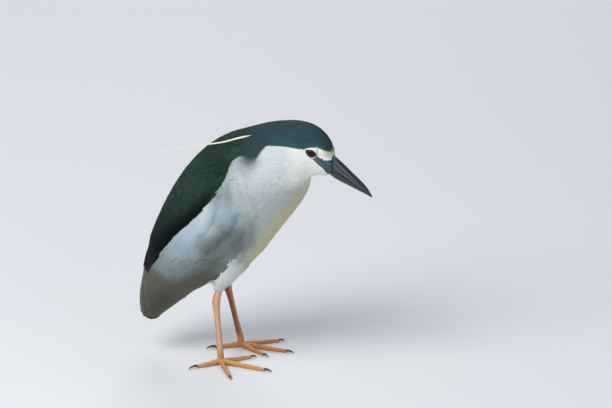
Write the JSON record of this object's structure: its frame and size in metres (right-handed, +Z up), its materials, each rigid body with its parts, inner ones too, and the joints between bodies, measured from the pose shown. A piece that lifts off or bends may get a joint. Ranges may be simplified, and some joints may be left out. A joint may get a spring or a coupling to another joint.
{
  "type": "heron",
  "caption": "Standing adult night heron, life-size still model, hunched neck, heavy pointed bill, dark crown and back, grey wings, pale breast, long nape plumes.",
  "frame": {"origin": "middle of the model's footprint box on the floor", "axes": "+X forwards, the way the bill points, +Y to the bird's left, +Z up"},
  "size_m": [0.324, 0.1624, 0.3451],
  "materials": {
    "white_plumage": "soft white contour feathers",
    "dark_plumage": "glossy black-green feathers",
    "grey_plumage": "smooth grey flight and covert feathers",
    "bill_horn": "satin horn",
    "eye": "wet dark red",
    "leg_skin": "scaled skin",
    "claw_horn": "satin horn",
    "plume": "fine white plumes"
  },
  "bodies": {
    "root": {"trunk": "white_plumage", "neck": "white_plumage", "head": "dark_plumage", "bill_upper": "bill_horn", "bill_lower": "bill_horn", "eye_right": "eye", "eye_left": "eye", "wing_right": "grey_plumage", "wing_left": "grey_plumage", "tail": "grey_plumage", "nape_plumes": "plume", "thigh_right": "white_plumage", "thigh_left": "white_plumage", "shank_right": "leg_skin", "shank_left": "leg_skin", "toe_right_1": "leg_skin", "toe_right_2": "leg_skin", "toe_right_3": "leg_skin", "toe_right_4": "leg_skin", "toe_left_1": "leg_skin", "toe_left_2": "leg_skin", "toe_left_3": "leg_skin", "toe_left_4": "leg_skin", "claw_right_1": "claw_horn", "claw_right_2": "claw_horn", "claw_right_3": "claw_horn", "claw_right_4": "claw_horn", "claw_left_1": "claw_horn", "claw_left_2": "claw_horn", "claw_left_3": "claw_horn", "claw_left_4": "claw_horn"}
  },
  "joints": []
}
